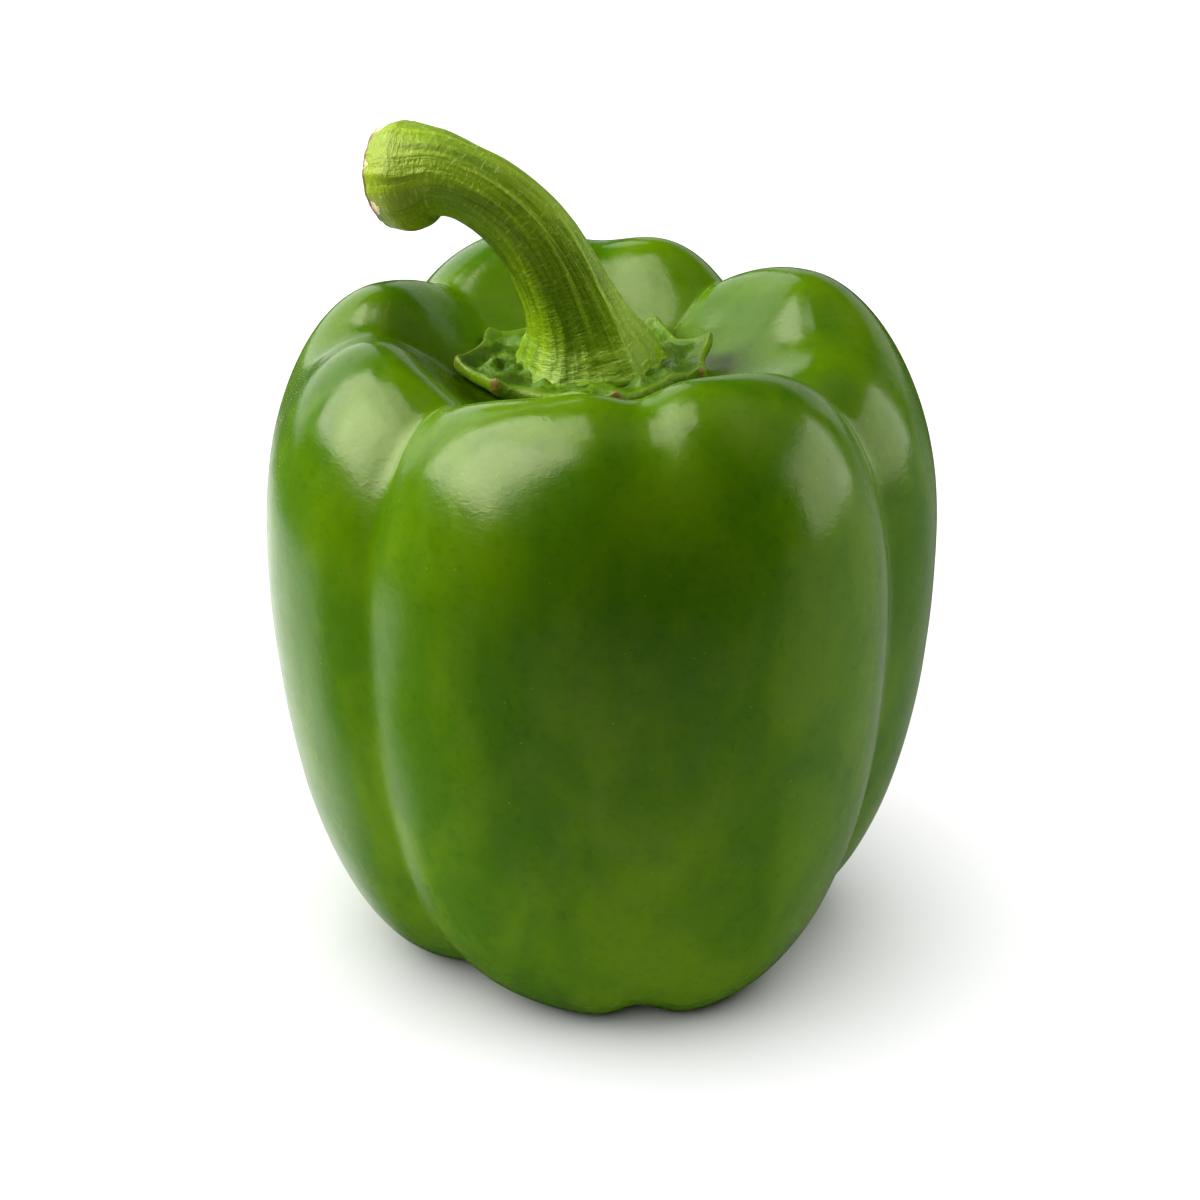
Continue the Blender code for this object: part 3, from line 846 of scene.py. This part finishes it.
@dataclass(frozen=True)
class StalkFibre:
    """The stem's skin, with fine lines along it and wrinkles across it, and the dry cut end."""

    dark: Colour = (0.088, 0.165, 0.001)
    green: Colour = (0.150, 0.245, 0.001)
    pale: Colour = (0.200, 0.320, 0.003)
    foot: Colour = (0.088, 0.168, 0.002)
    # Lighter green near the cut end: partly the stem's own paler tissue, partly a painted highlight.
    end: Colour = (0.175, 0.235, 0.006)
    cream: Colour = (0.60, 0.50, 0.27)
    pith: Colour = (0.42, 0.36, 0.16)
    dry: Colour = (0.13, 0.055, 0.018)
    # Colour of the painted glints on the stem's wrinkles.
    fleck: Colour = (0.30, 0.42, 0.05)
    line_depth: float = 0.15
    wrinkle_depth: float = 0.14
    grain_depth: float = 0.05

    def dress(self, piece: bpy.types.Object) -> None:
        """Puts the skin on the stem."""
        recipe = Recipe("stalk_fibre")
        broad = recipe.noise(recipe.grain((1.0, 1.0, 0.35)), 3.4, 3.0, 0.4)
        colour = recipe.layer(self.dark, self.green, recipe.rescale(broad, 0.30, 0.52, 0.0, 1.0))
        colour = recipe.layer(colour, self.pale, recipe.rescale(broad, 0.50, 0.80, 0.0, 0.35))
        # Painted highlight along the stem's ridges and painted shade in its grooves.
        ridge = recipe.attribute("ridge")
        colour = recipe.layer(colour, self.pale, recipe.rescale(ridge, 0.1, 1.0, 0.0, 0.4))
        colour = recipe.layer(colour, self.dark, recipe.rescale(ridge, 0.0, -1.0, 0.0, 0.5))
        lines = recipe.noise(recipe.grain((1.0, 1.0, 0.035)), 0.50, 3.0, 0.2)
        lines_seen = recipe.rescale(lines, 0.48, 0.66, 0.0, 0.65)
        colour = recipe.layer(colour, (0.45, 0.55, 0.3), lines_seen, Blend.DARKEN)
        foot = recipe.attribute("foot")
        colour = recipe.layer(colour, self.foot, recipe.rescale(foot, 0.1, 1.0, 0.0, 0.7))
        # Lighter and yellower towards the cut end: partly the stem's own paler tissue, partly a
        # painted highlight on the swollen end.
        near_cut = recipe.attribute("near_cut")
        near_cut = recipe.product(near_cut, recipe.rescale(broad, 0.3, 0.6, 0.45, 1.0))
        colour = recipe.layer(colour, self.end, recipe.rescale(near_cut, 0.0, 1.0, 0.0, 0.9))
        wrinkles = recipe.noise(recipe.grain((0.30, 0.30, 1.0)), 0.34, 3.0, 0.6)
        # Painted glints: pale flecks on the crests of the wrinkles across the stem, where they catch
        # the light.
        flecks = recipe.rescale(wrinkles, 0.56, 0.68, 0.0, 0.45)
        colour = recipe.layer(colour, self.fleck, flecks)
        ragged = recipe.rescale(recipe.noise(recipe.place(), 0.8, 3.0), 0.3, 0.7, -0.3, 0.3)
        depth = recipe.total(recipe.attribute("cut"), ragged)
        colour = recipe.layer(colour, self.dark, recipe.rescale(depth, -0.28, -0.10, 0.0, 0.55))
        colour = recipe.layer(colour, self.cream, recipe.rescale(depth, -0.08, 0.06, 0.0, 1.0))
        face = recipe.attribute("face")
        pith = recipe.layer(self.pith, self.cream, recipe.noise(recipe.place(), 1.2, 3.0))
        colour = recipe.layer(colour, pith, recipe.rescale(face, 0.1, 0.9, 0.0, 1.0))
        rim = recipe.total(recipe.attribute("brown_rim"), ragged)
        colour = recipe.layer(colour, self.dry, recipe.rescale(rim, 0.42, 0.72, 0.0, 0.92))
        relief = recipe.bump(lines, self.line_depth)
        folds = recipe.noise(recipe.grain((0.35, 0.35, 1.0)), 1.0, 3.0, 0.5)
        folds = recipe.product(folds, recipe.rescale(foot, 0.0, 0.9, 0.05, 1.0))
        relief = recipe.bump(folds, 0.30, relief)
        relief = recipe.bump(wrinkles, self.wrinkle_depth, relief)
        fine = recipe.noise(recipe.grain((1.0, 1.0, 0.6)), 0.22, 2.0)
        relief = recipe.bump(fine, self.grain_depth, relief)
        recipe.dress(
            piece,
            "stem",
            Base_Color=colour,
            Roughness=recipe.rescale(face, 0.0, 1.0, 0.36, 0.75),
            Normal=relief,
            Specular_IOR_Level=0.32,
            Specular_Tint=WARM_SHEEN,
            Subsurface_Weight=0.08,
            Subsurface_Radius=LIGHT_SPREAD,
            Subsurface_Scale=0.8 * MM,
        )


@dataclass
class Stem:
    """The curved stalk: ribs that twist slowly round it, a flared foot and a swollen cut end."""

    finish: StalkFibre = field(default_factory=StalkFibre)
    rings: tuple[StemRing, ...] = (
        StemRing(-1.6, 1.0, 75.6, 9.4), StemRing(-1.8, 1.0, 77.4, 8.8),
        StemRing(-2.2, 0.8, 79.6, 7.4), StemRing(-2.8, 0.5, 82.2, 6.1),
        StemRing(-4.2, 0.2, 86.0, 5.3), StemRing(-5.9, 0.1, 89.7, 5.0),
        StemRing(-7.8, 0.0, 92.8, 4.8), StemRing(-10.2, 0.0, 95.6, 4.6),
        StemRing(-13.0, 0.1, 97.9, 4.5), StemRing(-16.2, 0.5, 99.5, 4.5),
        StemRing(-19.2, 1.4, 100.1, 5.3), StemRing(-22.2, 2.7, 99.5, 6.5),
        StemRing(-24.8, 4.1, 98.9, 6.05),
    )
    segments: int = 192
    steps: int = 232
    rib_count: int = 5
    rib_depth: float = 0.030
    lead_at_foot: float = -58.0
    lead_at_end: float = -8.0
    ridges: tuple[tuple[float, float, float], ...] = (
        (0.0, 1.0, 6.5), (12.0, -0.9, 5.0), (24.0, 0.5, 5.0), (34.0, -0.6, 4.5), (46.0, 0.4, 6.0),
        (58.0, -0.4, 5.0), (-22.0, -0.28, 5.0), (-34.0, 0.15, 6.0), (-52.0, -0.2, 6.0),
    )
    ridge_height: float = 0.050
    groove_depth: float = 0.055
    crease_depth: float = 0.040
    fine_ribs: tuple[tuple[float, float], ...] = ((17.0, 0.006), (29.0, 0.004))
    scallops: int = 7
    scallop_length: float = 2.3
    scallop_inset: float = 0.7
    face_blend: float = 0.09
    brown_width: float = 0.45
    brown_share: float = 0.9
    grain_radius: float = 5.0
    cut_rounds: tuple[tuple[float, float], ...] = (
        (0.10, 0.985), (0.16, 0.955), (0.15, 0.91), (0.08, 0.85), (0.00, 0.78), (-0.05, 0.70),
        (-0.05, 0.60), (0.00, 0.50), (0.06, 0.39), (0.12, 0.28), (0.16, 0.17), (0.18, 0.08),
    )

    def at(self, share: float) -> tuple[Vector, float]:
        """Middle and radius of the stem, by Catmull-Rom through its rings."""
        rings = np.array([(ring.x, ring.y, ring.z, ring.radius) for ring in self.rings])
        rings = np.vstack([2.0 * rings[0] - rings[1], rings, 2.0 * rings[-1] - rings[-2]])
        along = share * (len(self.rings) - 1)
        span = min(int(along), len(self.rings) - 2)
        part = along - span
        before, start, end, after = rings[span : span + 4]
        spot = 0.5 * (
            2.0 * start
            + (end - before) * part
            + (2.0 * before - 5.0 * start + 4.0 * end - after) * part**2
            + (3.0 * start - before - 3.0 * end + after) * part**3
        )
        return Vector(spot[:3]), float(spot[3])

    def axes(self, share: float) -> tuple[Vector, Vector, Vector]:
        """The stem's direction and two directions square to it."""
        if share == 0.0:
            ahead = Vector((0.0, 0.0, 1.0))
        else:
            ahead = self.at(min(share + 0.01, 1.0))[0] - self.at(share - 0.01)[0]
            ahead.normalize()
        side = Vector((0.0, 1.0, 0.0))
        side = (side - ahead * side.dot(ahead)).normalized()
        return ahead, side.cross(ahead), side

    def lead(self, share: float) -> float:
        """The angle of the sharp ridge, in degrees."""
        return self.lead_at_foot + (self.lead_at_end - self.lead_at_foot) * share

    def ridge_profile(self, share: float, angle: float) -> float:
        """The ridges and, below 0, the grooves on each side of the sharpest ridge."""
        off = float(turn(math.degrees(angle), self.lead(share)))
        return sum(high * math.exp(-(((off - at) / wide) ** 2)) for at, high, wide in self.ridges)

    def scallop(self, angle: float) -> float:
        """The pattern of pale scallops and dark creases round the cut end, -1 to 1."""
        return 0.8 * math.cos(self.scallops * angle + 0.6) + 0.2 * math.cos(3.0 * angle)

    def section(self, share: float, angle: float) -> float:
        """Radius of the ribbed section at an angle, as a multiple of the round one."""
        off = angle - math.radians(self.lead(share))
        fading = 1.0 - 0.5 * float(ease((share - 0.7) / 0.2))
        ribs = self.rib_depth * math.cos(self.rib_count * off) * fading
        profile = self.ridge_profile(share, angle)
        fade = float(ease((share - 0.04) / 0.24) * (1.0 - ease((share - 0.66) / 0.24)))
        sharp = profile * (self.ridge_height if profile > 0.0 else self.groove_depth) * fade
        fine = sum(high * math.sin(count * off) for count, high in self.fine_ribs)
        crease = max(0.0, -self.scallop(angle)) ** 4 * float(ease((share - 0.85) / 0.15))
        return 1.0 + ribs + sharp + fine - self.crease_depth * crease

    def build(self, place: Vector) -> bpy.types.Object:
        """Models the stem over its CAD solid.

        Args:
            place: where the fruit's axis meets the floor in the frame, in millimetres.

        Returns:
            The stem.
        """
        shape = bmesh.new()
        bmesh.ops.create_circle(shape, cap_ends=False, segments=self.segments, radius=1.0)
        names = ("ridge", "foot", "near_cut", "cut", "face", "brown_rim")
        layers = {name: shape.verts.layers.float.new(name) for name in names}
        grain = shape.verts.layers.float_vector.new("grain")
        edges = shape.edges[:]
        ring = shape.verts[:]
        angles = [math.atan2(vertex.co.y, vertex.co.x) for vertex in ring]
        shares = [step / self.steps for step in range(self.steps + 1)]
        middles = [self.at(share)[0] for share in shares]
        steps = [0.0] + [(b - a).length for a, b in zip(middles, middles[1:])]
        travelled = np.cumsum(steps)
        rounds = [(share, 0.0, 1.0) for share in shares]
        rounds += [(1.0, forward, shrink) for forward, shrink in self.cut_rounds]
        for number, (share, forward, shrink) in enumerate(rounds):
            if number:
                made = bmesh.ops.extrude_edge_only(shape, edges=edges)["geom"]
                edges = [item for item in made if isinstance(item, bmesh.types.BMEdge)]
                edges = [edge for edge in edges if edge.is_boundary]
                ring = [item for item in made if isinstance(item, bmesh.types.BMVert)]
            middle, radius = self.at(share)
            ahead, across, side = self.axes(share)
            length = float(travelled[min(number, self.steps)])
            to_rim = float(travelled[-1]) - length
            inside = number > self.steps
            for vertex, angle in zip(ring, angles):
                wide = radius * shrink * self.section(share, angle)
                reach = across * math.cos(angle) + side * math.sin(angle)
                vertex.co = middle + reach * wide + ahead * forward
                level = (math.cos(angle) * self.grain_radius, math.sin(angle) * self.grain_radius)
                vertex[grain] = Vector((*level, length + forward)) * MM
                # Ridge height, which the stem's skin reads for its painted highlight on ridges and
                # painted shade in grooves.
                vertex[layers["ridge"]] = self.ridge_profile(share, angle) * float(ease(share / 0.3))
                vertex[layers["foot"]] = 1.0 - float(ease(share / 0.36))
                # Nearness to the cut end, for its lighter colour, which is partly a painted highlight.
                vertex[layers["near_cut"]] = float(ease((share - 0.74) / 0.26))
                scallop = self.scallop_length * self.scallop(angle)
                vertex[layers["cut"]] = scallop - self.scallop_inset - to_rim
                vertex[layers["face"]] = float(inside) * (1.0 - shrink) / self.face_blend
                rim_place = (1.0 - shrink) * radius if inside else to_rim
                brown = math.exp(-((rim_place / self.brown_width) ** 2)) * self.brown_share
                vertex[layers["brown_rim"]] = brown
        bmesh.ops.holes_fill(shape, edges=shape.edges[:])
        self.wrinkle_skin(shape)
        piece = finish_piece("stem", shape, place)
        self.finish.dress(piece)
        return piece

    def wrinkle_skin(self, shape: bmesh.types.BMesh) -> None:
        """Raises low, uneven wrinkles, strongest round the flared foot."""
        foot = shape.verts.layers.float["foot"]
        normals = vertex_normals(shape)
        points = np.array([vertex.co for vertex in shape.verts])
        weight = np.array([vertex[foot] for vertex in shape.verts])
        squashed = points * np.array([0.45, 0.45, 1.0])
        lumps = 0.22 * roughen(points, 4.5, 2.0) + 0.12 * roughen(squashed, 1.0, 6.0)
        beads = 0.25 * pebbles(points, 2.6) * ease((weight - 0.80) / 0.16)
        lift = lumps * (0.15 + 0.85 * weight) + beads
        move_vertices(shape, points + normals * lift[:, None])


class Reach(Enum):
    """What a light acts on: the shading of surfaces, or the reflections in them."""

    SHADING = "shading"
    GLOSS = "gloss"


@dataclass(frozen=True)
class Panel:
    """A soft rectangular light, facing the pepper. Its width and height are in degrees of view."""

    name: str
    heading: float
    elevation: float
    width: float
    height: float
    brightness: float
    reach: Reach
    distance: float = 2.4

    def hang(self, aim: Vector) -> bpy.types.Object:
        """Places the light round a point given in metres."""
        lamp = bpy.data.lights.new(self.name, "AREA")
        lamp.shape = "RECTANGLE"
        lamp.size = 2.0 * self.distance * math.tan(math.radians(self.width / 2.0))
        lamp.size_y = 2.0 * self.distance * math.tan(math.radians(self.height / 2.0))
        lamp.energy = self.brightness * math.pi * lamp.size * lamp.size_y
        holder = bpy.data.objects.new(self.name, lamp)
        bpy.context.scene.collection.objects.link(holder)
        holder.visible_diffuse = self.reach is Reach.SHADING
        holder.visible_glossy = self.reach is Reach.GLOSS
        out = pointing(self.heading, self.elevation)
        turned = out.to_track_quat("Z", "Y").to_matrix().to_4x4()
        holder.matrix_world = Matrix.Translation(aim + out * self.distance) @ turned
        return holder


@dataclass(frozen=True)
class PaleBoard:
    """The floor's paint: white to the eye, and to everything else a small board in a dark room, with
    painted light and shade.
    """

    white: float = 0.74
    # Painted light: for light bounced up on to the fruit, the floor is brighter than white.
    bounced: float = 1.2
    # Painted reflections: how bright the floor looks in the fruit's gloss, dim in front and brighter
    # to the right and behind.
    mirrored_front: float = 0.065
    mirrored_right: float = 0.18
    mirrored_behind: float = 0.65
    right_heading: float = 100.0
    behind_heading: float = -125.0
    dark_heading: float = -58.0
    edge: tuple[float, float] = (0.17, 0.27)
    dark_edge: tuple[float, float] = (0.060, 0.100)

    def towards(
        self, recipe: Recipe, facing: Socket, heading: float, low: float, high: float
    ) -> Socket:
        """How nearly a place on the floor lies towards a heading, 0 to 1.

        Args:
            recipe: the material being made.
            facing: the level direction of the place.
            heading: the heading in degrees.
            low: the cosine of the turn where the effect begins.
            high: the cosine of the turn where it is full.

        Returns:
            The share as a socket.
        """
        inputs = {0: facing, 1: tuple(pointing(heading, 0.0))}
        node = recipe.add("ShaderNodeVectorMath", inputs, operation="DOT_PRODUCT")
        return recipe.rescale(node.outputs["Value"], low, high, 0.0, 1.0)

    def make(self) -> bpy.types.Material:
        """The floor's material."""
        recipe = Recipe("pale_board")
        tree = recipe.tree
        tree.nodes.remove(recipe.shader)
        spot = recipe.place()
        facing = recipe.add("ShaderNodeVectorMath", {0: spot}, operation="NORMALIZE").outputs[0]
        away = recipe.add("ShaderNodeVectorMath", {0: spot}, operation="LENGTH").outputs["Value"]
        path = recipe.add("ShaderNodeLightPath", {})
        right = self.towards(recipe, facing, self.right_heading, 0.55, 0.85)
        behind = self.towards(recipe, facing, self.behind_heading, 0.50, 0.85)
        board = recipe.rescale(away, *self.edge, 1.0, 0.06)
        board = recipe.layer(board, (1.0, 1.0, 1.0), right)
        gloss = recipe.layer((self.mirrored_front,) * 3, (self.mirrored_right,) * 3, right)
        gloss = recipe.layer(gloss, (self.mirrored_behind,) * 3, behind)
        # Painted shade: the floor's reflections go dark towards one heading, beyond a short distance
        # from the fruit.
        dark = self.towards(recipe, facing, self.dark_heading, 0.80, 0.95)
        dark = recipe.product(dark, recipe.rescale(away, *self.dark_edge, 0.0, 0.9))
        gloss = recipe.layer(gloss, (0.0, 0.0, 0.0), dark)
        shade = recipe.layer((self.bounced,) * 3, gloss, path.outputs["Is Glossy Ray"])
        shade = recipe.layer(shade, board, 1.0, Blend.DARKEN)
        shade = recipe.layer(shade, (self.white,) * 3, path.outputs["Is Camera Ray"])
        paint = recipe.add("ShaderNodeBsdfDiffuse", {"Color": shade})
        tree.links.new(paint.outputs[0], tree.nodes["Material Output"].inputs["Surface"])
        return recipe.material


@dataclass
class Studio:
    """The pale floor, the lights and the camera."""

    fruit_lights: tuple[Panel, ...] = (
        Panel("left_shading", -100.0, 30.0, 40.0, 40.0, 20.0, Reach.SHADING),
        Panel("right_shading", 100.0, 55.0, 45.0, 45.0, 6.5, Reach.SHADING),
        Panel("key_softbox", -80.0, 45.0, 60.0, 55.0, 7.0, Reach.GLOSS),
        Panel("key_core", -70.0, 40.0, 30.0, 35.0, 3.5, Reach.GLOSS),
        Panel("overhead_strip", -80.0, 80.0, 30.0, 15.0, 4.5, Reach.GLOSS),
        Panel("right_card", 100.0, 15.0, 45.0, 30.0, 2.5, Reach.GLOSS),
        Panel("back_left_card", -145.0, 20.0, 50.0, 50.0, 1.4, Reach.GLOSS),
        Panel("back_right_card", 160.0, 10.0, 45.0, 25.0, 0.5, Reach.GLOSS),
    )
    floor_light: Panel = Panel("floor_light", -55.0, 75.0, 100.0, 100.0, 3.2, Reach.SHADING)
    paint: PaleBoard = PaleBoard()
    floor_size: float = 12.0
    room_glow: float = 0.013
    lens: float = 100.0
    sensor_width: float = 36.0
    camera_elevation: float = 23.5
    camera_distance: float = 414.0
    aim_height: float = 45.7

    def lay_floor(self) -> bpy.types.Object:
        """A pale level floor."""
        shape = bmesh.new()
        bmesh.ops.create_grid(shape, x_segments=1, y_segments=1, size=self.floor_size / 2.0)
        mesh = bpy.data.meshes.new("floor")
        shape.to_mesh(mesh)
        shape.free()
        floor = bpy.data.objects.new("floor", mesh)
        bpy.context.scene.collection.objects.link(floor)
        mesh.materials.append(self.paint.make())
        return floor

    def hang_lights(self, aim: Vector, floor: bpy.types.Object) -> None:
        """Hangs the pepper's lights and the floor's own light, which keeps its shadow short.

        Args:
            aim: the place that the lights face, in metres.
            floor: the floor.
        """
        ground = bpy.data.collections.new("ground")
        ground.objects.link(floor)
        pepper = bpy.data.collections.new("pepper")
        for piece in bpy.context.scene.objects:
            if piece.type == "MESH" and piece is not floor:
                pepper.objects.link(piece)
        self.floor_light.hang(aim).light_linking.receiver_collection = ground
        for panel in self.fruit_lights:
            panel.hang(aim).light_linking.receiver_collection = pepper

    def light_room(self) -> None:
        """A dim room that looks white to the camera, so that the backdrop is plain."""
        world = bpy.data.worlds.new("studio")
        bpy.context.scene.world = world
        world.use_nodes = True
        tree = world.node_tree
        dim = tree.nodes["Background"]
        dim.inputs["Color"].default_value = (1.0, 1.0, 1.0, 1.0)
        dim.inputs["Strength"].default_value = self.room_glow
        white = tree.nodes.new("ShaderNodeBackground")
        white.inputs["Color"].default_value = (1.0, 1.0, 1.0, 1.0)
        path = tree.nodes.new("ShaderNodeLightPath")
        mixed = tree.nodes.new("ShaderNodeMixShader")
        tree.links.new(path.outputs["Is Camera Ray"], mixed.inputs[0])
        tree.links.new(dim.outputs[0], mixed.inputs[1])
        tree.links.new(white.outputs[0], mixed.inputs[2])
        tree.links.new(mixed.outputs[0], tree.nodes["World Output"].inputs["Surface"])

    def set_camera(self, aim: Vector) -> None:
        """Points the camera at a place given in metres."""
        data = bpy.data.cameras.new("camera")
        data.lens = self.lens
        data.sensor_width = self.sensor_width
        camera = bpy.data.objects.new("camera", data)
        bpy.context.scene.collection.objects.link(camera)
        out = pointing(0.0, self.camera_elevation)
        camera.location = aim + out * (self.camera_distance * MM)
        camera.rotation_euler = (math.radians(90.0 - self.camera_elevation), 0.0, 0.0)
        bpy.context.scene.camera = camera

    def build(self, place: Vector) -> None:
        """Sets up the whole studio round the fruit.

        Args:
            place: where the fruit's axis meets the floor in the frame, in millimetres.
        """
        aim = (place + Vector((0.0, 0.0, self.aim_height))) * MM
        self.hang_lights(aim, self.lay_floor())
        self.light_room()
        self.set_camera(aim)
        scene = bpy.context.scene
        scene.view_settings.view_transform = "Standard"
        scene.view_settings.look = "None"


def main() -> None:
    """Builds the pepper and its studio, and reports each piece."""
    logging.basicConfig(level=logging.INFO, format="%(name)s: %(message)s")
    fruit = Fruit()
    body, place = fruit.build()
    for piece in (body, Calyx(fruit.shape).build(place), Stem().build(place)):
        LOG.info("%s: %d faces", piece.name, len(piece.data.polygons))
    Studio().build(place)


if __name__ == "__main__":
    main()
